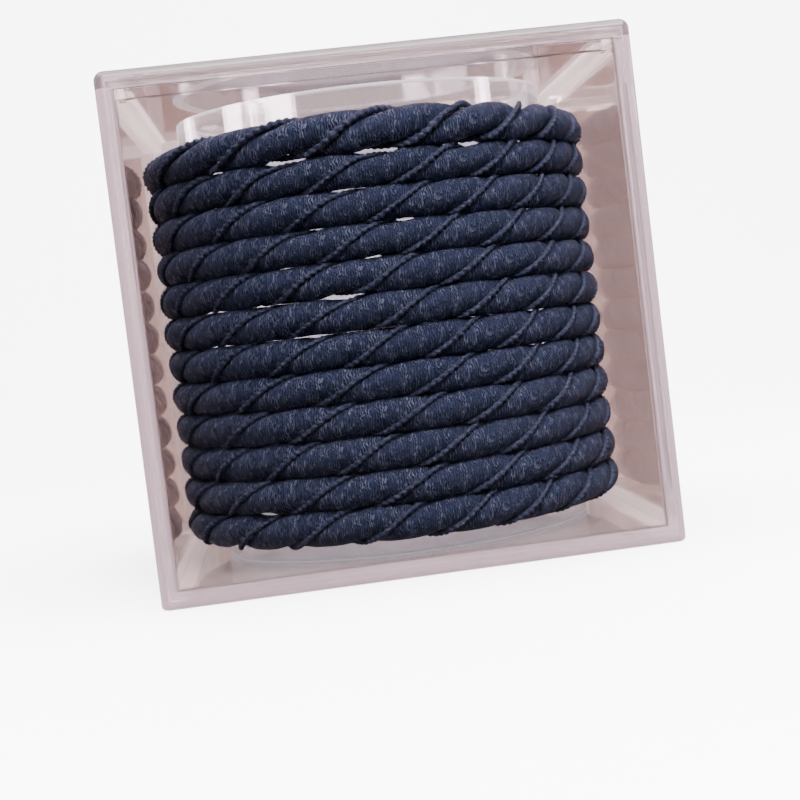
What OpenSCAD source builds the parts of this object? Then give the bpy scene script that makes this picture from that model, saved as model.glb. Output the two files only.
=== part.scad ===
// Twelve twisted rope hair ties, stacked on a clear tube in a clear square box with a lift-off lid.
// Millimetres, +Z up. The origin is the middle of the face that the box stands on.
// The front is -Y. Row 0 is the top tie.

/* [Ties] */
// Width of one tie's rope, measured outward from the tube
rope_w = 4.7; // [3.6:0.1:6]
// Height of one tie's rope, which the stack presses a little flat
rope_h = 4.2; // [3.4:0.1:5.6]
// Depth of the groove between the two fat strands of a rope
groove_depth = 0.45; // [0.2:0.05:0.8]
// Half the angle that one strand's crown takes up round the rope
crown_half_angle = 33; // [25:1:40]
// Turns of the twist in one tie
rope_turns = 9; // [6:1:12]
// Gap between one tie and the next in the stack
tie_gap = 0.16; // [0.1:0.02:0.6]
// Gap between the ties and the tube that they grip
grip_gap = 0.15; // [0.1:0.05:0.6]

/* [Tube] */
// Outer diameter of the tube
tube_d = 50.4; // [40:0.2:70]
// Wall of the tube
tube_wall = 1.5; // [1:0.1:3]
// Height of the tube above the top tie
tube_rise = 4.34; // [2:0.02:12]
// Height of the tube that is bare below the bottom tie
tube_foot = 2.7; // [1:0.1:10]

/* [Box] */
// Wall of the box
box_wall = 1.8; // [1.4:0.1:3]
// Floor of the box
floor_t = 2; // [1.4:0.1:4]
// Clearance between the stack and the walls
side_clear = 0.65; // [0.3:0.05:6]
// Headroom between the tube's rim and the lid
headroom = 1.6; // [0.4:0.1:10]
// Radius of the upright edges outside
corner_r = 1.2; // [0.9:0.1:3]
// Radius of the edges round the foot
foot_edge_r = 0.6; // [0.3:0.1:1.2]

/* [Lid] */
// Thickness of the lid's plate
lid_t = 2.2; // [1.6:0.1:4]
// Radius of the edges round the top of the lid
lid_edge_r = 1.2; // [0.4:0.1:1.5]
// Width of the ridge that centres the lid between the walls
ridge_w = 1.2; // [0.8:0.1:2]
// Depth of that ridge below the plate
ridge_h = 1.3; // [0.6:0.1:3]
// Clearance between the ridge and the walls
ridge_clear = 0.3; // [0.2:0.05:0.5]

/* [Hidden] */
$fn = 96;
tie_count = 12;
tie_names = [for (row = [0:tie_count - 1]) str("tie_", row < 9 ? "0" : "", row + 1)];

// Where a groove crosses each tie's front, in degrees to the right of the middle, top tie first
groove_at = [-8, -10, -16, -8, -1, 2, -6, -11, 0, -10, 0, -7];
// Sections along a tie for each turn of its twist
sections_per_turn = 9;

stack_h = tie_count * rope_h + (tie_count - 1) * tie_gap;
row_pitch = rope_h + tie_gap;
ring_r = tube_d / 2 + grip_gap + rope_w / 2;
stack_r = ring_r + rope_w / 2;
tube_h = tube_foot + stack_h + tube_rise;
inner_w = 2 * (stack_r + side_clear);
box_w = inner_w + 2 * box_wall;
base_h = floor_t + tube_h + headroom;
inner_corner_r = corner_r / 2;
overcut = 1;

// A square outline with round corners
module rounded_square(size, radius) {
    straight = size - 2 * radius;
    square([size, straight], center = true);
    square([straight, size], center = true);
    for (x = [-1, 1], y = [-1, 1])
        translate([x * straight / 2, y * straight / 2]) circle(radius);
}

// A side view: straight up from the floor, with round corners at the top
module round_topped(width, height, radius) {
    translate([-width / 2, 0]) square([width, height - radius]);
    translate([radius - width / 2, 0]) square([width - 2 * radius, height]);
    for (x = [-1, 1])
        translate([x * (width / 2 - radius), height - radius]) circle(radius);
}

// A square block whose upright edges are round, and whose top edges are round too
module soft_block(width, height, corner, edge) {
    length = width + 2 * overcut;
    intersection() {
        linear_extrude(height) rounded_square(width, corner);
        rotate([90, 0, 0]) linear_extrude(length, center = true) round_topped(width, height, edge);
        rotate([90, 0, 90]) linear_extrude(length, center = true) round_topped(width, height, edge);
    }
}

// Floor and four walls in one piece, open at the top
module box_base() {
    color([0.86, 0.83, 0.86, 0.35]) difference() {
        translate([0, 0, base_h]) mirror([0, 0, 1]) soft_block(box_w, base_h, corner_r, foot_edge_r);
        translate([0, 0, floor_t]) linear_extrude(base_h) rounded_square(inner_w, inner_corner_r);
    }
}

// Plate that lies on the walls, with a ridge below it that centres it between them
module box_lid() {
    ridge_outer = inner_w - 2 * ridge_clear;
    ridge_inner = ridge_outer - 2 * ridge_w;
    color([0.88, 0.85, 0.88, 0.35]) {
        translate([0, 0, base_h]) soft_block(box_w, lid_t, corner_r, lid_edge_r);
        translate([0, 0, base_h - ridge_h]) difference() {
            linear_extrude(ridge_h + overcut / 2) rounded_square(ridge_outer, inner_corner_r);
            translate([0, 0, -overcut]) linear_extrude(ridge_h + overcut)
                rounded_square(ridge_inner, inner_corner_r);
        }
    }
}

// Open tube that stands on the floor
module tube() {
    color([0.9, 0.87, 0.9, 0.3]) translate([0, 0, floor_t]) difference() {
        cylinder(h = tube_h, d = tube_d);
        translate([0, 0, -overcut]) cylinder(h = tube_h + 2 * overcut, d = tube_d - 2 * tube_wall);
    }
}

// Points round one section of a rope, as [distance from its middle, angle]:
// two crowns with a groove on each side
crown = rope_w / 2;
groove = crown - groove_depth;
rope_section = [
    [groove, 0],
    [crown, 90 - crown_half_angle],
    [crown, 90 + crown_half_angle],
    [groove, 180],
    [crown, 270 - crown_half_angle],
    [crown, 270 + crown_half_angle]
];

// One tie: a closed ring of two fat strands twisted together, seams rising to the right
module tie(row) {
    sides = len(rope_section);
    sections = rope_turns * sections_per_turn;
    height = floor_t + tube_foot + stack_h - rope_h / 2 - row * row_pitch;
    flatten = rope_h / rope_w;
    points = [
        for (i = [0:sections - 1])
            let (around = i * 360 / sections, twist = rope_turns * (around - groove_at[row]))
                for (p = rope_section)
                    let (
                        outward = ring_r + p[0] * cos(p[1] + twist),
                        up = flatten * p[0] * sin(p[1] + twist)
                    )
                        [outward * sin(around), -outward * cos(around), height + up]
    ];
    faces = [
        for (i = [0:sections - 1], j = [0:sides - 1])
            let (
                next_i = (i + 1) % sections,
                next_j = (j + 1) % sides,
                a = i * sides + j,
                b = next_i * sides + j,
                c = next_i * sides + next_j,
                d = i * sides + next_j
            )
                each [[a, c, b], [a, d, c]]
    ];
    color([0.07, 0.08, 0.14]) polyhedron(points, faces);
}

box_base();
box_lid();
tube();
for (row = [0:tie_count - 1])
    tie(row);
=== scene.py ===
"""Rope hair ties on a tube in a clear box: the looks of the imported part, built round its frame."""

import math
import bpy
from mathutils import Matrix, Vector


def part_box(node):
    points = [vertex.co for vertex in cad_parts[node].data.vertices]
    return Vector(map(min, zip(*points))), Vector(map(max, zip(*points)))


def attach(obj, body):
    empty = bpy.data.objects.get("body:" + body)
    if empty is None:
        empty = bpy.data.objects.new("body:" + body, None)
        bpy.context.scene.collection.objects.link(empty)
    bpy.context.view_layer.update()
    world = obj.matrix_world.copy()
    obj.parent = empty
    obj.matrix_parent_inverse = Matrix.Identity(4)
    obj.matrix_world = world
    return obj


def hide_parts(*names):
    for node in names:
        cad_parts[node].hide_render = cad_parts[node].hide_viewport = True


bl_info = {
    "name": "Rope hair ties in a clear box",
    "version": (1, 0, 0),
    "blender": (4, 5, 0),
    "location": "3D View > Sidebar > Hair ties",
    "description": "Builds twisted rope hair ties, their clear tube and box, and the stage",
    "category": "Add Mesh",
}

import bpy
from mathutils import Matrix, Vector, noise

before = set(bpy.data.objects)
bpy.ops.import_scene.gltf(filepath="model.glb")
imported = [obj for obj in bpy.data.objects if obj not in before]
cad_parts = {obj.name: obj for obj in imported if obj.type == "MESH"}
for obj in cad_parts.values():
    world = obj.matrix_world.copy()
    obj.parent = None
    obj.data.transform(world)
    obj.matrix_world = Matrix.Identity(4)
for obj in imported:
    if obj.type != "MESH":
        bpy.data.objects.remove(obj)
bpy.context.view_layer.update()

MM = 0.001
BODY = "root"
CLEAR_PIECES = "clear_pieces"
TIE_NODES = sorted(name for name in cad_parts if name.startswith("tie_"))

# How each row lies, top tie first. Its seams, in degrees: where one crosses the front, to the right
# of the middle, how far they spread apart at the front, and how far they crowd to the right. The
# gap below it, in millimetres, and from where to where it is open, in degrees. How fat and how
# loose the tie is beside the others, and how far it has slid up at its front and back, and down at
# its sides.
ROWS = [
    {"at": -9, "spread": 14, "crowd": 20, "gap": 0.45, "from": -50, "to": 48, "fat": 1.1, "loose": 1.6,
     "slid": 0.45},
    {"at": -10, "spread": 6, "crowd": 10, "gap": 0.2, "from": -26, "to": 0, "fat": 1, "loose": 1.2,
     "slid": 0},
    {"at": -17, "spread": 5, "crowd": 10, "gap": 0.25, "from": -38, "to": 14, "fat": 1, "loose": 1,
     "slid": 0},
    {"at": -9, "spread": 3, "crowd": 6, "gap": 0.22, "from": -36, "to": 18, "fat": 1, "loose": 1,
     "slid": 0},
    {"at": -1, "spread": 4, "crowd": -2, "gap": 0.4, "from": -40, "to": 8, "fat": 1, "loose": 1,
     "slid": 0},
    {"at": 3, "spread": 3, "crowd": 9, "gap": 0.2, "from": -30, "to": 0, "fat": 1, "loose": 1,
     "slid": 0},
    {"at": -6, "spread": 0, "crowd": 6, "gap": 0, "from": 0, "to": 0, "fat": 1, "loose": 1, "slid": 0},
    {"at": -13, "spread": 11, "crowd": 12, "gap": 0, "from": 0, "to": 0, "fat": 1, "loose": 1,
     "slid": 0},
    {"at": 1, "spread": 7, "crowd": 6, "gap": 0, "from": 0, "to": 0, "fat": 1, "loose": 1, "slid": 0},
    {"at": -11, "spread": 2, "crowd": -2, "gap": 0, "from": 0, "to": 0, "fat": 1, "loose": 1,
     "slid": 0},
    {"at": -1, "spread": 8, "crowd": 3, "gap": 0.55, "from": -50, "to": -26, "fat": 1, "loose": 1,
     "slid": 0},
    {"at": -6, "spread": -3, "crowd": 4, "gap": 0, "from": 0, "to": 0, "fat": 1, "loose": 1.2,
     "slid": -0.1},
]

base_low, base_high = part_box("box_base")
lid_low, lid_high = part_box("box_lid")
tube_low, tube_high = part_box("tube")
first_top, second_top = (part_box(name)[1].z for name in TIE_NODES[:2])
STACK_R = max(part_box(name)[1].x for name in TIE_NODES)
ROW_PITCH = first_top - second_top
BOX_TOP = lid_high.z
BOX_HALF = lid_high.x
BOX_WALL = 1.8 * MM
WALL_INSIDE = BOX_HALF - BOX_WALL
BROKEN_EDGE = 0.12 * MM


class RopeSettings(bpy.types.PropertyGroup):
    """Sizes and colours of one tie"""

    outer_radius: bpy.props.FloatProperty(
        name="Ring radius", description="From the middle of the ring to the outside of its strands",
        default=STACK_R + 0.15 * MM, unit="LENGTH", precision=5)
    width: bpy.props.FloatProperty(
        name="Rope width", description="Across the two strands, outward from the tube",
        default=STACK_R - tube_high.x - 0.1 * MM, unit="LENGTH", precision=5)
    height: bpy.props.FloatProperty(
        name="Rope height", description="Height of the two strands, without the cords in their seams",
        default=ROW_PITCH + 0.6 * MM, unit="LENGTH", precision=5)
    turns: bpy.props.IntProperty(
        name="Turns", description="Turns of the twist round one tie", default=9, min=4, max=14)
    groove: bpy.props.FloatProperty(
        name="Groove", description="Depth of the groove between the two strands",
        default=0.5 * MM, unit="LENGTH", precision=5)
    cord: bpy.props.FloatProperty(
        name="Seam cord", description="Thickness of the thin cord that lies in each groove",
        default=0.95 * MM, unit="LENGTH", precision=5)
    cord_proud: bpy.props.FloatProperty(
        name="Cord proud", description="How far the thin cord stands out past the strands",
        default=0.22 * MM, unit="LENGTH", precision=5)
    cord_lay: bpy.props.FloatProperty(
        name="Cord lay", description="Length of one turn of the thin cord's own two plies",
        default=1.3 * MM, unit="LENGTH", precision=5)
    thread: bpy.props.FloatProperty(
        name="Thread pitch", description="Spacing of the thread that is wound round each strand",
        default=0.31 * MM, unit="LENGTH", precision=5)
    # Painted shade: the near-black colour in the gaps between the threads, which the bump also sinks; on
    # the cord it colours the darker fibres
    shade: bpy.props.FloatVectorProperty(
        name="Thread shade", description="Colour between the threads", subtype="COLOR",
        default=(0.005, 0.007, 0.017), min=0, max=1)
    colour: bpy.props.FloatVectorProperty(
        name="Thread colour", description="Colour of the satin thread", subtype="COLOR",
        default=(0.032, 0.05, 0.1), min=0, max=1)
    # Painted glint: a lighter base colour on dashes of thread and on the cord's lighter fibres, in place
    # of the light they catch
    painted_glint: bpy.props.FloatVectorProperty(
        name="Glint colour", description="Colour of the threads that catch the light", subtype="COLOR",
        default=(0.135, 0.175, 0.265), min=0, max=1)
    gloss_tint: bpy.props.FloatVectorProperty(
        name="Gloss tint", description="Colour of the dyed thread's own gloss", subtype="COLOR",
        default=(0.27, 0.44, 1.0), min=0, max=1)
    cord_colour: bpy.props.FloatVectorProperty(
        name="Cord colour", description="Colour of the thin cord's fibres", subtype="COLOR",
        default=(0.047, 0.066, 0.115), min=0, max=1)


class PlasticSettings(bpy.types.PropertyGroup):
    """Clear plastic of the box and the tube"""

    box_wall: bpy.props.FloatProperty(
        name="Box wall", description="Thickness of the box's walls",
        default=BOX_WALL, unit="LENGTH", precision=5)
    corner: bpy.props.FloatProperty(
        name="Corner", description="Radius of the upright edges outside, and of the lid's top edges",
        default=1.2 * MM, unit="LENGTH", precision=5)
    foot_edge: bpy.props.FloatProperty(
        name="Foot edge", description="Radius of the edges round the foot, and of the corners inside",
        default=0.6 * MM, unit="LENGTH", precision=5)
    ridge: bpy.props.FloatProperty(
        name="Lid ridge", description="Width of the ridge that centres the lid",
        default=1.2 * MM, unit="LENGTH", precision=5)
    ridge_clear: bpy.props.FloatProperty(
        name="Ridge clearance", description="From the lid's ridge to the walls",
        default=0.3 * MM, unit="LENGTH", precision=5)
    tube_wall: bpy.props.FloatProperty(
        name="Tube wall", description="Thickness of the tube's wall",
        default=1.5 * MM, unit="LENGTH", precision=5)
    seam: bpy.props.FloatProperty(
        name="Air gap", description="Thin film of air wherever one piece stands on another",
        default=0.03 * MM, unit="LENGTH", precision=6)
    box_tint: bpy.props.FloatVectorProperty(
        name="Box tint", description="What one wall of the box lets through", subtype="COLOR",
        default=(0.29, 0.229, 0.222), min=0, max=1)
    lid_tint: bpy.props.FloatVectorProperty(
        name="Lid tint", description="What the lid's underside lets through and back", subtype="COLOR",
        default=(0.4, 0.32, 0.33), min=0, max=1)
    tube_tint: bpy.props.FloatVectorProperty(
        name="Tube tint", description="What one wall of the tube lets through", subtype="COLOR",
        default=(0.97, 0.96, 0.965), min=0, max=1)
    lamp_share: bpy.props.FloatProperty(
        name="Lamp share", description="Share of a lamp's light that each face lets straight through",
        default=0.88, min=0, max=1)
    room_share: bpy.props.FloatProperty(
        name="Room share", description="Share of the room's light that each face lets straight through",
        default=0.32, min=0, max=1)
    # Painted glow in the lid's front edge, dimmed to a darker copy: painted shade
    lid_glow_colour: bpy.props.FloatVectorProperty(
        name="Lid edge colour", description="Milky light in the lid's front edge", subtype="COLOR",
        default=(0.045, 0.03, 0.036), min=0, max=1)
    # Painted glow in the base's front edges, a darker copy of the glow behind them: painted shade
    front_glow_colour: bpy.props.FloatVectorProperty(
        name="Edge colour", description="Milky light in the base's front edges", subtype="COLOR",
        default=(0.145, 0.1, 0.119), min=0, max=1)
    # Painted glow in the edges behind the front, in place of the light that gathers in clear plastic
    far_glow_colour: bpy.props.FloatVectorProperty(
        name="Far edge colour", description="Milky light in the edges behind the front",
        subtype="COLOR", default=(1.0, 0.93, 0.96), min=0, max=1)
    # Painted glow on the tube's rim and foot and behind the ties; the faint milk elsewhere catches the
    # lamps' bars
    tube_glow_colour: bpy.props.FloatVectorProperty(
        name="Tube haze", description="Faint milky light in the tube", subtype="COLOR",
        default=(0.82, 0.86, 0.95), min=0, max=1)
    edge_width: bpy.props.FloatProperty(
        name="Edge width", description="Width of the milky bands along the box's edges",
        default=2.5 * MM, unit="LENGTH", precision=5)
    rim: bpy.props.FloatProperty(
        name="Tube rim", description="Radius of the edges of the tube's rim and foot",
        default=0.3 * MM, unit="LENGTH", precision=5)
    refraction: bpy.props.FloatProperty(
        name="Refraction", description="Index of refraction", default=1.49, min=1, max=2)


class StageSettings(bpy.types.PropertyGroup):
    """Floor, light and camera"""

    floor_colour: bpy.props.FloatVectorProperty(
        name="Floor", description="Colour of the floor and the backdrop", subtype="COLOR",
        default=(0.86, 0.84, 0.84), min=0, max=1)
    mirrored: bpy.props.FloatProperty(
        name="Mirrored", description="Share of the floor's light that the plastic mirrors",
        default=0.1, min=0, max=1)
    camera_place: bpy.props.FloatVectorProperty(
        name="Camera", description="Where the camera stands", subtype="TRANSLATION",
        default=(-12.87 * MM, -232.5 * MM, 32.39 * MM), precision=5)
    yaw: bpy.props.FloatProperty(
        name="Yaw", description="Turn of the camera to the left", subtype="ANGLE",
        default=math.radians(-6.02))
    pitch: bpy.props.FloatProperty(
        name="Pitch", description="Tilt of the camera upward", subtype="ANGLE",
        default=math.radians(-3.13))
    roll: bpy.props.FloatProperty(
        name="Roll", description="Roll of the camera to the right", subtype="ANGLE",
        default=math.radians(6.78))
    lens: bpy.props.FloatProperty(
        name="Lens", description="Focal length", default=74.3, unit="CAMERA")
    shift: bpy.props.FloatVectorProperty(
        name="Shift", description="Shift of the picture across and up, in frame widths", size=2,
        default=(-0.0939, -0.0066), precision=4)
    world_colour: bpy.props.FloatVectorProperty(
        name="World", description="Colour of the light from all round", subtype="COLOR",
        default=(0.93, 0.92, 0.93), min=0, max=1)
    world_strength: bpy.props.FloatProperty(
        name="World strength", description="Strength of the light from all round", default=0.25,
        min=0)


class Value:
    """A shader socket that Python's operators work on"""

    def __init__(self, finish, socket):
        self.finish = finish
        self.socket = socket

    def math(self, operation, *inputs):
        return self.finish.node("ShaderNodeMath", {"operation": operation}, dict(enumerate(inputs)))

    def __add__(self, other):
        return self.math("ADD", self, other)

    def __sub__(self, other):
        return self.math("SUBTRACT", self, other)

    def __rsub__(self, other):
        return self.math("SUBTRACT", other, self)

    def __mul__(self, other):
        return self.math("MULTIPLY", self, other)

    def __abs__(self):
        return self.math("ABSOLUTE", self)

    __radd__ = __add__
    __rmul__ = __mul__

    def sine(self):
        return self.math("SINE", self)

    def least(self, other):
        return self.math("MINIMUM", self, other)

    def most(self, other):
        return self.math("MAXIMUM", self, other)

    def ramp(self, low, high):
        """0 at low, 1 at high, smooth between them"""
        return self.finish.node(
            "ShaderNodeMapRange", {"interpolation_type": "SMOOTHSTEP", "clamp": True},
            {"Value": self, "From Min": low, "From Max": high, "To Min": 0.0, "To Max": 1.0})


class Finish:
    """A material with a Principled shader, and the one method that adds nodes to it"""

    def __init__(self, name, **constants):
        self.material = bpy.data.materials.new(name)
        self.material.use_nodes = True
        self.tree = self.material.node_tree
        self.shader = self.tree.nodes["Principled BSDF"]
        for socket, value in constants.items():
            self.shader.inputs[socket.replace("_", " ")].default_value = value

    def node(self, kind, settings=None, sockets=None, output=0):
        made = self.tree.nodes.new(kind)
        for name, value in (settings or {}).items():
            setattr(made, name, value)
        for name, value in (sockets or {}).items():
            self.feed(made.inputs[name], value)
        return Value(self, made.outputs[output])

    def feed(self, socket, value):
        if isinstance(value, Value):
            self.tree.links.new(value.socket, socket)
        else:
            socket.default_value = value

    def set(self, name, value):
        self.feed(self.shader.inputs[name], value)

    def surface(self, value):
        self.feed(self.tree.nodes["Material Output"].inputs["Surface"], value)

    def colours(self, factor, low, high):
        return self.node("ShaderNodeMix", {"data_type": "RGBA"},
                         {"Factor": factor, "A": self.colour(low), "B": self.colour(high)},
                         output="Result")

    def colour(self, value):
        return value if isinstance(value, Value) else (*value, 1)

    def mix(self, factor, one, other):
        """A Mix Shader from one shader, at 0, to the other, at 1"""
        return self.node("ShaderNodeMixShader", None, {0: factor, 1: one, 2: other})

    def place(self):
        """Object coordinates as one vector"""
        return self.node("ShaderNodeTexCoord", output="Object")

    def xyz(self):
        """Object coordinates as three values"""
        return self.split(self.place())

    def split(self, vector):
        parts = self.node("ShaderNodeSeparateXYZ", None, {"Vector": vector}).socket.node
        return [Value(self, parts.outputs[name]) for name in "XYZ"]

    def joined(self, x, y, z):
        return self.node("ShaderNodeCombineXYZ", None, {"X": x, "Y": y, "Z": z})

    def cloud(self, vector, scale, detail, roughness=0.5, dimensions="3D"):
        """Noise from 0 to 1"""
        return self.node("ShaderNodeTexNoise", {"noise_dimensions": dimensions},
                         {"Vector": vector, "Scale": scale, "Detail": detail, "Roughness": roughness})

    def bump(self, height, distance):
        """Feeds Normal from a height"""
        self.set("Normal", self.node("ShaderNodeBump", None,
                                     {"Strength": 1.0, "Distance": distance, "Height": height}))

    def ray(self, kind):
        """1 where the light path's ray is of that kind"""
        return self.node("ShaderNodeLightPath", output=kind)

    def grey(self, kind, share):
        """A shader of that kind in one grey"""
        return self.node(kind, None, {"Color": (share, share, share, 1)})


def deselect():
    if bpy.context.object and bpy.context.object.mode != "OBJECT":
        bpy.ops.object.mode_set(mode="OBJECT")
    bpy.ops.object.select_all(action="DESELECT")


def only(piece):
    deselect()
    piece.select_set(True)
    bpy.context.view_layer.objects.active = piece


def named(name):
    """Names the object that an operator has just made"""
    piece = bpy.context.object
    piece.name = piece.data.name = name
    return piece


def apply_modifier(piece, kind, **settings):
    only(piece)
    modifier = piece.modifiers.new(kind.lower(), kind)
    for name, value in settings.items():
        setattr(modifier, name, value)
    bpy.ops.object.modifier_apply(modifier=modifier.name)


def settle(piece):
    """Puts the piece's place into its mesh"""
    only(piece)
    bpy.ops.object.transform_apply(location=True, rotation=True, scale=True)


def edit(piece, kind, test):
    """Edit mode with only the faces or edges selected whose points all pass the test"""
    only(piece)
    bpy.ops.object.mode_set(mode="EDIT")
    bpy.ops.mesh.select_mode(type=kind)
    bpy.ops.mesh.select_all(action="DESELECT")
    bpy.ops.object.mode_set(mode="OBJECT")
    mesh = piece.data
    for item in (mesh.polygons if kind == "FACE" else mesh.edges):
        item.select = test([mesh.vertices[index].co for index in item.vertices])
    bpy.ops.object.mode_set(mode="EDIT")


def finish_edit():
    bpy.ops.object.mode_set(mode="OBJECT")


def near(one, other):
    return abs(one - other) < 0.002 * MM


def block(name, low, high):
    """A block between two corners"""
    deselect()
    bpy.ops.mesh.primitive_cube_add(size=1, location=(low + high) / 2)
    piece = named(name)
    piece.scale = high - low
    settle(piece)
    return piece


def round_edges(piece, test, radius, segments=6):
    edit(piece, "EDGE", test)
    bpy.ops.mesh.bevel(offset=radius, segments=segments, affect="EDGES", profile=0.5)
    finish_edit()


def level(z):
    """A test that all points lie at one height"""
    return lambda points: all(near(point.z, z) for point in points)


def upright_at(half):
    """A test for the four upright edges, half a width from the middle both ways"""
    return lambda points: (abs(points[0].z - points[1].z) > MM
                           and all(near(abs(p.x), half) and near(abs(p.y), half) for p in points))


def clear_base(plastic):
    """Floor and four walls in one moulding"""
    low = base_low + Vector((0, 0, plastic.seam))
    high = base_high - Vector((0, 0, plastic.seam))
    inside = high.x - plastic.box_wall
    floor = tube_low.z - plastic.seam
    piece = block("clear_base", low, high)
    edit(piece, "FACE", level(high.z))
    bpy.ops.mesh.inset(thickness=plastic.box_wall)
    bpy.ops.mesh.extrude_region_move(TRANSFORM_OT_translate={"value": (0, 0, floor - high.z)})
    finish_edit()
    round_edges(piece, upright_at(high.x), plastic.corner)
    round_edges(piece, upright_at(inside), plastic.foot_edge)
    round_edges(piece, level(low.z), plastic.foot_edge)
    round_edges(piece, level(floor), plastic.foot_edge / 2, segments=4)
    round_edges(piece, level(high.z), BROKEN_EDGE, segments=3)
    return piece


def clear_lid(plastic):
    """Plate on the walls, with the ridge below it that centres it"""
    under = base_high.z
    piece = block("clear_lid", Vector((lid_low.x, lid_low.y, under)), lid_high)
    edit(piece, "FACE", level(under))
    bpy.ops.mesh.inset(thickness=plastic.box_wall + plastic.ridge_clear)
    bpy.ops.mesh.inset(thickness=plastic.ridge)
    finish_edit()
    outer = lid_high.x - plastic.box_wall - plastic.ridge_clear
    inner = outer - plastic.ridge

    def ridge_face(points):
        reach = [max(abs(point.x), abs(point.y)) for point in points]
        return level(under)(points) and near(max(reach), outer) and near(min(reach), inner)

    edit(piece, "FACE", ridge_face)
    bpy.ops.mesh.extrude_region_move(TRANSFORM_OT_translate={"value": (0, 0, lid_low.z - under)})
    finish_edit()
    round_edges(piece, upright_at(lid_high.x), plastic.corner)
    round_edges(piece, upright_at(outer), plastic.foot_edge)
    round_edges(piece, level(lid_high.z), plastic.corner)
    round_edges(piece, level(lid_low.z), BROKEN_EDGE, segments=3)
    return piece


def clear_tube(plastic):
    """Open tube that stands on the floor"""
    deselect()
    height = tube_high.z - tube_low.z - plastic.seam
    bpy.ops.mesh.primitive_cylinder_add(
        vertices=192, radius=tube_high.x, depth=height, end_fill_type="NOTHING",
        location=(0, 0, tube_high.z - height / 2))
    piece = named("clear_tube")
    settle(piece)
    apply_modifier(piece, "SOLIDIFY", thickness=plastic.tube_wall, offset=-1)
    apply_modifier(piece, "BEVEL", width=plastic.rim, segments=4, limit_method="ANGLE",
                   angle_limit=math.radians(60))
    only(piece)
    bpy.ops.object.shade_smooth_by_angle(angle=math.radians(35))
    apply_modifier(piece, "WEIGHTED_NORMAL", keep_sharp=True)
    return piece


def straight_strand(name, sides, segments, length, shape):
    """A straight open tube along X. shape gives a section's (y, z) from an angle off +Z."""
    deselect()
    step = length / segments
    bpy.ops.mesh.primitive_circle_add(vertices=sides, radius=1, fill_type="NOTHING",
                                      location=(-length / 2, 0, 0), rotation=(0, math.pi / 2, 0))
    piece = named(name)
    settle(piece)
    for vertex in piece.data.vertices:
        vertex.co.y, vertex.co.z = shape(math.atan2(vertex.co.y, vertex.co.z))
    bpy.ops.object.mode_set(mode="EDIT")
    bpy.ops.mesh.select_all(action="SELECT")
    bpy.ops.mesh.extrude_region_move(TRANSFORM_OT_translate={"value": (step, 0, 0)})
    finish_edit()
    apply_modifier(piece, "ARRAY", count=segments, use_relative_offset=False, use_constant_offset=True,
                   constant_offset_displace=(step, 0, 0), use_merge_vertices=True,
                   merge_threshold=step / 20)
    return piece


def write_uv(piece, length):
    """U runs once along the strand and V once round it"""
    points = piece.data.vertices
    middle = sum((point.co for point in points), Vector()) / len(points)
    layer = piece.data.uv_layers.new(name="strand")
    for face in piece.data.polygons:
        spots = []
        for index in face.vertices:
            at = points[index].co
            around = math.atan2(at.z - middle.z, at.y - middle.y) / math.tau + 0.5
            spots.append([at.x / length + 0.5, around])
        wraps = max(spot[1] for spot in spots) - min(spot[1] for spot in spots) > 0.5
        for loop, spot in zip(face.loop_indices, spots):
            if wraps and spot[1] < 0.5:
                spot[1] += 1
            layer.data[loop].uv = spot


def half_turned(piece, name):
    """A copy of the piece turned half a turn about X"""
    only(piece)
    bpy.ops.object.duplicate()
    copy = named(name)
    copy.data.transform(Matrix.Rotation(math.pi, 4, "X"))
    return copy


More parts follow.
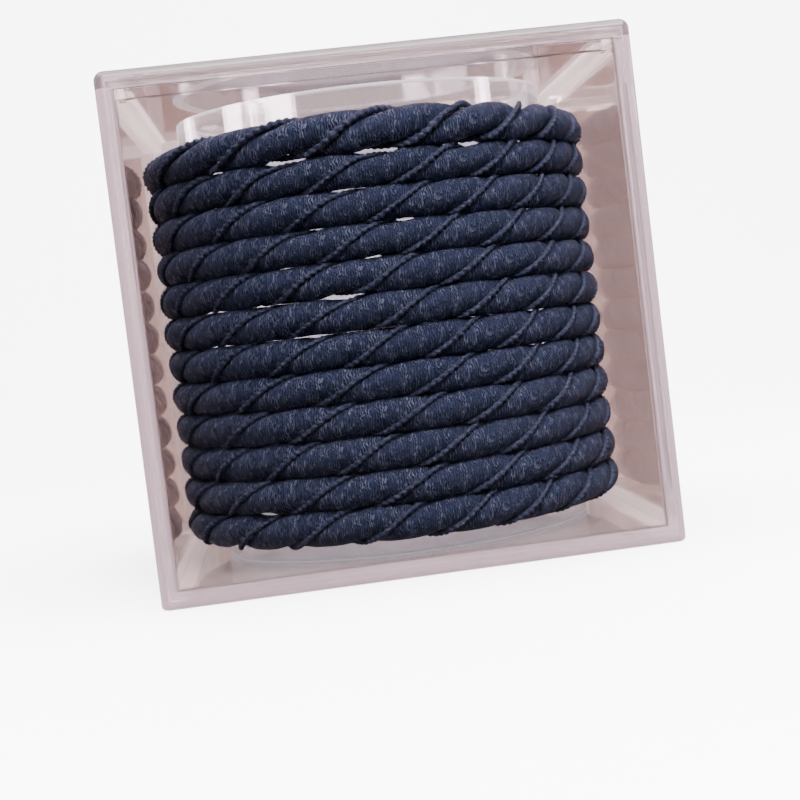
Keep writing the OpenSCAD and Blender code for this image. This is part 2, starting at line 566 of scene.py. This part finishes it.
def master_tie(rope):
    """One tie round the origin, in the XY plane, before its neighbours press on it"""
    ring_r = rope.outer_radius - rope.width / 2
    length = math.tau * ring_r
    half = rope.width / 2
    strand_sides = 20
    strand_sections = 450
    cord_sides = 8
    sections_a_turn = 6
    rounded_share = 0.8
    slack = 0.01
    rim_angle = math.radians(87)
    flat_back = 0.02 * MM
    oval = 0.2

    def strand_section(angle):
        share = abs(angle) / math.pi
        if share > rounded_share + slack:
            across = (1 - share) / (1 - rounded_share)
            return math.copysign(across * (half - rope.groove), angle), flat_back
        turn = angle / (rounded_share * math.pi) * rim_angle
        reach = half - rope.groove * abs(math.sin(turn)) ** 4
        return reach * math.sin(turn), reach * math.cos(turn)

    def cord_section(angle):
        thick = rope.cord / 2 * (1 - oval + oval * math.cos(2 * angle))
        return thick * math.sin(angle), thick * math.cos(angle)

    strand = straight_strand("fat_strand", strand_sides, strand_sections, length, strand_section)
    write_uv(strand, length)
    cord_turns = round(length / rope.cord_lay)
    cord = straight_strand("seam_cord", cord_sides, cord_turns * sections_a_turn, length, cord_section)
    write_uv(cord, length)
    apply_modifier(cord, "SIMPLE_DEFORM", deform_method="TWIST", deform_axis="X",
                   angle=math.tau * cord_turns)
    cord.data.transform(Matrix.Translation((0, half + rope.cord_proud - rope.cord / 2, 0)))
    strand.data.materials.append(thread_finish(rope))
    cord.data.materials.append(cord_finish(rope))
    parts = [strand, half_turned(strand, "fat_strand_b"), cord, half_turned(cord, "seam_cord_b")]
    deselect()
    for piece in parts:
        piece.select_set(True)
    bpy.context.view_layer.objects.active = strand
    bpy.ops.object.join()
    tie = bpy.context.object
    apply_modifier(tie, "SIMPLE_DEFORM", deform_method="TWIST", deform_axis="X",
                   angle=-math.tau * rope.turns)
    apply_modifier(tie, "SIMPLE_DEFORM", deform_method="BEND", deform_axis="Z", angle=math.tau)
    corners = [Vector(corner) for corner in tie.bound_box]
    middle = sum(corners, Vector()) / len(corners)
    tie.data.transform(Matrix.Translation(-middle))
    only(tie)
    bpy.ops.object.mode_set(mode="EDIT")
    bpy.ops.mesh.select_all(action="SELECT")
    bpy.ops.mesh.remove_doubles(threshold=length / strand_sections / 50)
    bpy.ops.mesh.normals_make_consistent(inside=False)
    finish_edit()
    bpy.ops.object.shade_smooth()
    return tie


def soft_limit(value, limit):
    """value, eased over the last part of the way so that it never passes limit"""
    free_share = 0.92
    knee = free_share * limit
    if abs(value) <= knee:
        return value
    room = limit - knee
    return math.copysign(knee + room * math.tanh((abs(value) - knee) / room), value)


def gap_below(row, around):
    """How far apart a row and the next one lie at an angle round the stack: open in short lenses"""
    if row < 0:
        return 0
    lie = ROWS[row]
    softly = 9
    lenses_round = 15
    closed = 0.45
    inside = min(math.degrees(around) - lie["from"], lie["to"] - math.degrees(around)) / softly
    share = min(max(inside, 0), 1)
    uneven = 1 + 0.6 * noise.noise(Vector((around * 4, row * 1.3, 0)))
    wave = 0.5 + 0.5 * math.cos(lenses_round * around + row * 2.4)
    lens = max(0, (wave - closed) / (1 - closed))
    return lie["gap"] * MM * share * share * (3 - 2 * share) * uneven * lens


def loosened(outward, up, half, loose):
    """A point of a rope's section with its depth under the strands' outside made loose times as deep"""
    least_share = 0.6
    reach = math.hypot(outward, up)
    if reach <= half / 3:
        return outward, up
    share = max(1 - (half - reach) * (loose - 1) / reach, least_share)
    return outward * share, up * share


def lay_in_row(tie, rope, row, middle_z):
    """Turns the tie to its row's seams, and presses it between its neighbours and on the tube"""
    lie = ROWS[row]
    ring_r = rope.outer_radius - rope.width / 2
    at_front = math.radians(lie["at"])
    spread = math.radians(lie["spread"])
    crowd = math.radians(lie["crowd"])
    squeeze = (rope.height - ROW_PITCH) / 2
    swell = 0.05
    sway = 0.16 * MM
    pressed_share = 0.3
    cord_share = 0.3
    least_reach = tube_high.x + 0.03 * MM
    most_reach = WALL_INSIDE - 0.1 * MM
    most_height = ROW_PITCH / 2 + 0.03 * MM
    last = len(TIE_NODES) - 1
    cord_points = {index for face in tie.data.polygons if face.material_index for index in face.vertices}
    for vertex in tie.data.vertices:
        at = vertex.co
        across = math.hypot(at.x, at.y)
        around = math.atan2(at.x, -at.y)
        turn = around + at_front + spread * math.sin(around) + crowd * (math.cos(around) - 1)
        turn = math.remainder(turn, math.tau)
        spot = Vector((math.cos(turn), math.sin(turn), 0))
        puff = lie["fat"] * (1 + swell * noise.noise(spot * 2.2 + Vector((0, 0, row * 1.7))))
        lift = sway * noise.noise(spot + Vector((0, 0, row * 0.35)))
        loose = 1 + (lie["loose"] - 1) * (cord_share if vertex.index in cord_points else 1)
        outward, up = loosened(across - ring_r, at.z, rope.width / 2, loose)
        outward *= puff
        reach = min(max(ring_r + outward, least_reach), most_reach)
        on_free_side = at.z > 0 if row == 0 else at.z < 0 and row == last
        slid = lie["slid"] * MM * math.cos(2 * turn)
        if on_free_side:
            up = up * puff + slid
        else:
            gap = gap_below(row if at.z < 0 else row - 1, turn)
            half = rope.height / 2 - (gap / 2 + min(gap, squeeze))
            up = up / (rope.width / 2) * half * puff + slid * pressed_share
            up = soft_limit(up, most_height)
        vertex.co = (reach * math.sin(turn), -reach * math.cos(turn), middle_z + up + lift)


class HAIRTIES_OT_ties(bpy.types.Operator):
    """Twists one rope tie, and copies it for each row of the stack"""

    bl_idname = "hairties.ties"
    bl_label = "Rope ties"

    def execute(self, context):
        rope = context.scene.hairties_rope
        tie = master_tie(rope)
        for row, node in enumerate(TIE_NODES):
            low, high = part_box(node)
            only(tie)
            bpy.ops.object.duplicate()
            copy = named(node + "_rope")
            lay_in_row(copy, rope, row, (low.z + high.z) / 2)
            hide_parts(node)
            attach(copy, BODY)
        bpy.data.objects.remove(tie)
        return {"FINISHED"}


def thread_finish(rope):
    """Satin thread wound closely round the strands, with painted shade between the threads and painted
    glints on them
    """
    made = Finish("rope_thread", Specular_IOR_Level=0.34, Specular_Tint=(*rope.gloss_tint, 1))
    uv = made.node("ShaderNodeUVMap", {"uv_map": "strand"})
    along, around = made.split(uv)[:2]
    count = round(math.tau * rope.outer_radius / rope.thread)
    threads_round = 18.0
    spread = made.joined(along * count, around * threads_round, 0.0)
    bundle = made.cloud(spread, scale=0.3, detail=1.0, dimensions="2D")
    crinkle = made.cloud(spread, scale=1.1, detail=0.0, dimensions="2D")
    fuzz = made.cloud(spread, scale=0.8, detail=2.0, roughness=0.6, dimensions="2D")
    rib = ((along * count + bundle * 1.6 + crinkle * 1.1) * math.tau).sine() * 0.5 + 0.5
    # Painted glint: the dashes turn the base colour to the glint colour; their lower roughness adds real
    # gloss as well
    glint_dash = rib.ramp(0.4, 0.95) * bundle.ramp(0.4, 0.65) * fuzz.ramp(0.3, 0.6)
    # Painted shade: darker in the gaps between the threads
    body = made.colours(rib * 0.8 + fuzz * 0.3, rope.shade, rope.colour)
    made.set("Base Color", made.colours(glint_dash, body, rope.painted_glint))
    made.set("Roughness", 0.6 - glint_dash * 0.28)
    made.bump(rib + fuzz * 0.5, 0.11 * MM)
    return made.material


def cord_finish(rope):
    """The thin twisted cord in the grooves, with painted glints on its lighter fibres"""
    made = Finish("seam_cord", Roughness=0.55, Specular_IOR_Level=0.3,
                  Specular_Tint=(*rope.gloss_tint, 1))
    fibre = made.cloud(made.place(), scale=3000.0, detail=2.0, roughness=0.6)
    light = fibre.ramp(0.45, 0.75)
    body = made.colours(fibre, rope.shade, rope.cord_colour)
    # Painted glint: the cord's lighter fibres turn halfway to the glint colour
    made.set("Base Color", made.colours(light * 0.5, body, rope.painted_glint))
    made.bump(fibre, 0.08 * MM)
    return made.material


def middle_of(one, two, three):
    """The middle one of three values"""
    return one.least(two).most(one.most(two).least(three))


def from_faces(made):
    """How deep a point lies behind the box's sides, its front or back, and its top or bottom"""
    x, y, z = made.xyz()
    return BOX_HALF - abs(x), BOX_HALF - abs(y), z.least(BOX_TOP - z)


def box_tint(made, plastic):
    """The tint lies on the outer faces and on the lid's underside, so that inner ledges don't darken
    what shows"""
    z = made.xyz()[2]
    from_side, from_front, from_top = from_faces(made)
    skin = from_side.least(from_front).least(from_top)
    twice = tuple(part ** 2 for part in plastic.box_tint)
    in_lid = z.ramp(base_high.z - 0.15 * MM, base_high.z - 0.05 * MM)
    inner = made.colours(in_lid, (1.0, 1.0, 1.0), plastic.lid_tint)
    return made.colours(skin.ramp(0.2 * MM, 0.5 * MM), twice, inner)


def behind_front(made):
    """0 at the box's front, and 1 from a little way behind it"""
    y = made.xyz()[1]
    return (y + BOX_HALF).ramp(1.5 * MM, 4 * MM)


def painted_edge_glow_mask(made, plastic):
    """Painted glow in place of the light that gathers in the box's clear edges: high along every
    edge of the box, with clearer streaks, and 0 on its open faces. The bands inside are wider behind the
    front, and the front of the lid's ridge has none."""
    x, y, z = made.xyz()
    from_side, from_front, from_top = from_faces(made)
    depth = middle_of(from_side, from_front, from_top)
    inner_face = from_side.least(from_front).least(from_top).ramp(0.5 * MM, 1.5 * MM)
    near_front = 1 - (y + BOX_HALF).ramp(4 * MM, 6 * MM)
    on_ridge = inner_face * near_front * z.ramp(lid_low.z - 0.2 * MM, lid_low.z)
    width = (behind_front(made) * (inner_face * (1.8 * MM) - 0.1 * MM) + plastic.edge_width
             - on_ridge * (2 * MM))
    streaks_across = 8 / plastic.edge_width
    spots = made.joined(depth * streaks_across, (x + y + z) * 55.0, (x - y - z) * 20.0)
    streak = made.cloud(spots, scale=1.0, detail=3.0, roughness=0.6)
    band = 1 - depth.ramp(width * 0.86, width)
    bright_line = 1 - abs(depth - 1.3 * MM).ramp(0.1 * MM, 0.4 * MM)
    inner_strip = depth.ramp(1.6 * MM, 1.75 * MM)
    clearer = streak.ramp(0.5, 0.75) * 0.35 + bright_line * 0.25 + inner_strip * 0.3
    clearer = clearer * (1 - behind_front(made) * 0.75)
    # Painted glow along the box's floor
    floor_painted_glow = (1 - z.ramp(tube_low.z + 0.1 * MM, tube_low.z + 0.3 * MM)) * 0.15
    return (band * (0.95 - clearer)).most(floor_painted_glow)


def tube_painted_glow_mask(made, plastic):
    """Painted glow on the tube: high at its rim and foot, fair behind the ties, where it lights the gaps
    between the rows, and faint between
    """
    z = made.xyz()[2]
    from_end = (z - tube_low.z).least(tube_high.z - z)
    behind_ties = (1 - z.ramp(first_top - 1 * MM, first_top + 1 * MM)) * z.ramp(4 * MM, 6 * MM)
    return (1 - from_end.ramp(0.2 * MM, 0.5 * MM)) * 0.6 + 0.1 + behind_ties * 0.4


def tube_tint(made, plastic):
    return made.colour(plastic.tube_tint)


def haze(made, colour):
    """Milky plastic that paints a glow on clear plastic, lit from both sides"""
    front_light = made.node("ShaderNodeBsdfPrincipled", None,
                            {"Base Color": (*colour, 1), "Roughness": 0.3})
    back_light = made.node("ShaderNodeBsdfTranslucent", None, {"Color": (*colour, 1)})
    return made.mix(0.5, front_light, back_light)


def box_painted_glow(made, plastic):
    """Painted edge glow, with painted shade on the front edges, which are darker than those behind them,
    and on the lid's, which is the darkest
    """
    z = made.xyz()[2]
    in_lid = z.ramp(base_high.z - 0.1 * MM, base_high.z + 0.1 * MM)
    front = made.mix(in_lid, haze(made, plastic.front_glow_colour), haze(made, plastic.lid_glow_colour))
    return made.mix(behind_front(made), front, haze(made, plastic.far_glow_colour))


# Painted glow of the tube
def tube_painted_glow(made, plastic):
    return haze(made, plastic.tube_glow_colour)


def clear_finish(name, plastic, tint, milky, milk, gloss, room_share):
    """Clear plastic with a painted milky glow where milky says, and that lets lamps and the room light
    through
    """
    made = Finish(name, Transmission_Weight=1.0, IOR=plastic.refraction,
                  Specular_Tint=(gloss, gloss, gloss, 1))
    made.set("Base Color", tint(made, plastic))
    smear = made.cloud(made.place(), scale=55.0, detail=4.0, roughness=0.55)
    made.set("Roughness", smear.ramp(0.45, 0.8) * 0.05 + 0.01)
    clear = Value(made, made.shader.outputs["BSDF"])
    body = made.mix(milky(made, plastic), clear, milk(made, plastic))
    for ray, share in (("Is Diffuse Ray", room_share), ("Is Shadow Ray", plastic.lamp_share)):
        body = made.mix(made.ray(ray), body, made.grey("ShaderNodeBsdfTransparent", share))
    made.surface(body)
    return made.material


class HAIRTIES_OT_plastic(bpy.types.Operator):
    """Moulds the clear box, its lid and the tube"""

    bl_idname = "hairties.plastic"
    bl_label = "Clear box and tube"

    def execute(self, context):
        plastic = context.scene.hairties_plastic
        box = clear_finish("box_plastic", plastic, box_tint, painted_edge_glow_mask, box_painted_glow, gloss=0.03,
                           room_share=plastic.room_share)
        tube = clear_finish("tube_plastic", plastic, tube_tint, tube_painted_glow_mask, tube_painted_glow, gloss=1.0,
                            room_share=0.95)
        clear = bpy.data.collections.new(CLEAR_PIECES)
        for make, node, slot, finish in (
            (clear_base, "box_base", "clear_box", box),
            (clear_lid, "box_lid", "clear_box", box),
            (clear_tube, "tube", "clear_tube", tube),
        ):
            piece = make(plastic)
            piece.data.materials.append(finish)
            clear.objects.link(piece)
            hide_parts(node)
            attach(piece, BODY)
        return {"FINISHED"}


class HAIRTIES_OT_stage(bpy.types.Operator):
    """Pale floor that curves up into a backdrop, soft lights and the camera"""

    bl_idname = "hairties.stage"
    bl_label = "Stage"

    def execute(self, context):
        stage = context.scene.hairties_stage
        self.floor(stage)
        self.lights(context, stage)
        self.camera(context, stage)
        return {"FINISHED"}

    def floor(self, stage):
        size, back, height, curve = 2.4, 0.7, 1.2, 0.5
        deselect()
        bpy.ops.mesh.primitive_plane_add(size=size, location=(0, back - size / 2, 0))
        floor = named("floor")
        settle(floor)
        edit(floor, "EDGE", lambda points: all(near(point.y, back) for point in points))
        bpy.ops.mesh.extrude_region_move(TRANSFORM_OT_translate={"value": (0, 0, height)})
        finish_edit()
        round_edges(floor, lambda points: all(near(p.y, back) and near(p.z, 0) for p in points),
                    curve, segments=32)
        only(floor)
        bpy.ops.object.shade_smooth()
        made = Finish("floor", Roughness=0.85)
        grain = made.cloud(made.place(), scale=30.0, detail=3.0)
        dim = tuple(0.985 * part for part in stage.floor_colour)
        made.set("Base Color", made.colours(grain, dim, stage.floor_colour))
        self.mirror_less(made, stage.mirrored)
        floor.data.materials.append(made.material)

    def mirror_less(self, made, share):
        """Lets glossy plastic mirror only a share of the floor's light, so that the ties show through
        it from above as well"""
        lit = Value(made, made.shader.outputs["BSDF"])
        mirrored = made.ray("Is Glossy Ray") * (1 - made.ray("Is Transmission Ray"))
        made.surface(made.mix(mirrored * (1 - share), lit, made.grey("ShaderNodeBsdfDiffuse", 0)))

    def lamp(self, name, kind, place, power, colour=(1, 1, 1)):
        deselect()
        bpy.ops.object.light_add(type=kind, location=place)
        lamp = bpy.context.object
        lamp.name = name
        lamp.data.energy = power
        lamp.data.color = colour
        lamp.visible_camera = False
        return lamp

    def panel(self, name, place, size, power, colour=(1, 1, 1), target=(0, 0, 0.033)):
        """An oblong lamp, aimed at the target"""
        lamp = self.lamp(name, "AREA", place, power, colour)
        lamp.data.shape = "RECTANGLE"
        lamp.data.size, lamp.data.size_y = size
        aim = Vector(target) - Vector(place)
        lamp.rotation_euler = aim.to_track_quat("-Z", "Y").to_euler()
        return lamp

    def only_on_plastic(self, lamp):
        """Lets the lamp light the milky parts of the plastic, and nothing else"""
        lamp.visible_glossy = lamp.visible_transmission = False
        lamp.light_linking.receiver_collection = bpy.data.collections[CLEAR_PIECES]

    def light_bar(self, name, around, width, power):
        """A bar of light on the tube above the ties, at an angle to the right of the front. It starts
        inside the box, so that the box's milky edges don't catch it."""
        height = 5 * MM
        away = 3 * MM
        middle = Vector((0, 0, tube_high.z - height / 2))
        out = Vector((math.sin(math.radians(around)), -math.cos(math.radians(around)), 0))
        bar = self.panel(name, middle + out * (tube_high.x + away), (width * MM, height), power,
                         (1.0, 0.94, 0.98), middle + out * tube_high.x)
        bar.data.spread = math.radians(1)
        self.only_on_plastic(bar)

    def lights(self, context, stage):
        self.panel("overhead", (0.1, -0.3, 0.45), (0.5, 0.3), 24.0, (1.0, 0.99, 0.98))
        self.panel("right_fill", (0.39, -0.25, 0.2), (0.2, 0.4), 1.0, (0.95, 0.97, 1.0))
        self.panel("front_gleam", (-0.06, -0.45, 0.33), (0.15, 0.08), 3.4)
        self.panel("backdrop_wash", (0, 0.1, 0.75), (1.0, 0.4), 43.0, target=(0, 0.6, 0))
        for name, side in (("left_edge_light", -0.35), ("right_edge_light", 0.35)):
            self.only_on_plastic(self.panel(name, (side, -0.15, 0.35), (0.3, 0.3), 17.0))
        for name, around, width, power in (
            ("far_left_bar", -67, 2.4, 90),
            ("left_bar", -42.6, 3.2, 90),
            ("thin_left_bar", -36, 1.0, 120),
            ("wide_left_bar", -29, 6.0, 3),
            ("right_bar", 37.5, 1.8, 500),
        ):
            self.light_bar(name, around, width, power)
        for height, power in ((0.009, 0.05), (0.04, 0.14), (0.05, 0.1)):
            glow = self.lamp("bore_glow", "POINT", (0, 0, height), power, (0.8, 0.91, 1.0))
            glow.data.shadow_soft_size = 0
            self.only_on_plastic(glow)
        world = bpy.data.worlds.new("studio")
        context.scene.world = world
        world.use_nodes = True
        background = world.node_tree.nodes["Background"]
        background.inputs["Color"].default_value = (*stage.world_colour, 1)
        background.inputs["Strength"].default_value = stage.world_strength

    def camera(self, context, stage):
        deselect()
        bpy.ops.object.camera_add(location=stage.camera_place)
        camera = context.object
        camera.name = "camera"
        turn = (Matrix.Rotation(stage.yaw, 3, "Z") @ Matrix.Rotation(stage.pitch, 3, "X")
                @ Matrix.Rotation(stage.roll, 3, "Y") @ Matrix.Rotation(math.pi / 2, 3, "X"))
        camera.rotation_euler = turn.to_euler()
        camera.data.lens = stage.lens
        camera.data.sensor_width = 36
        camera.data.shift_x, camera.data.shift_y = stage.shift
        camera.data.clip_start = 0.005
        context.scene.camera = camera


class HAIRTIES_PT_panel(bpy.types.Panel):
    """Lists the steps that build the ties, the plastic and the stage"""

    bl_label = "Hair ties"
    bl_space_type = "VIEW_3D"
    bl_region_type = "UI"
    bl_category = "Hair ties"

    def draw(self, context):
        for step in STEPS:
            self.layout.operator(step.bl_idname)
        for settings in (context.scene.hairties_rope, context.scene.hairties_plastic,
                         context.scene.hairties_stage):
            box = self.layout.box()
            for name in settings.__annotations__:
                box.prop(settings, name)


STEPS = (HAIRTIES_OT_plastic, HAIRTIES_OT_ties, HAIRTIES_OT_stage)
CLASSES = (RopeSettings, PlasticSettings, StageSettings, *STEPS, HAIRTIES_PT_panel)


def register():
    for item in CLASSES:
        bpy.utils.register_class(item)
    bpy.types.Scene.hairties_rope = bpy.props.PointerProperty(type=RopeSettings)
    bpy.types.Scene.hairties_plastic = bpy.props.PointerProperty(type=PlasticSettings)
    bpy.types.Scene.hairties_stage = bpy.props.PointerProperty(type=StageSettings)


def unregister():
    del bpy.types.Scene.hairties_rope
    del bpy.types.Scene.hairties_plastic
    del bpy.types.Scene.hairties_stage
    for item in reversed(CLASSES):
        bpy.utils.unregister_class(item)


def main():
    register()
    bpy.ops.hairties.plastic()
    bpy.ops.hairties.ties()
    bpy.ops.hairties.stage()


if __name__ == "__main__":
    main()
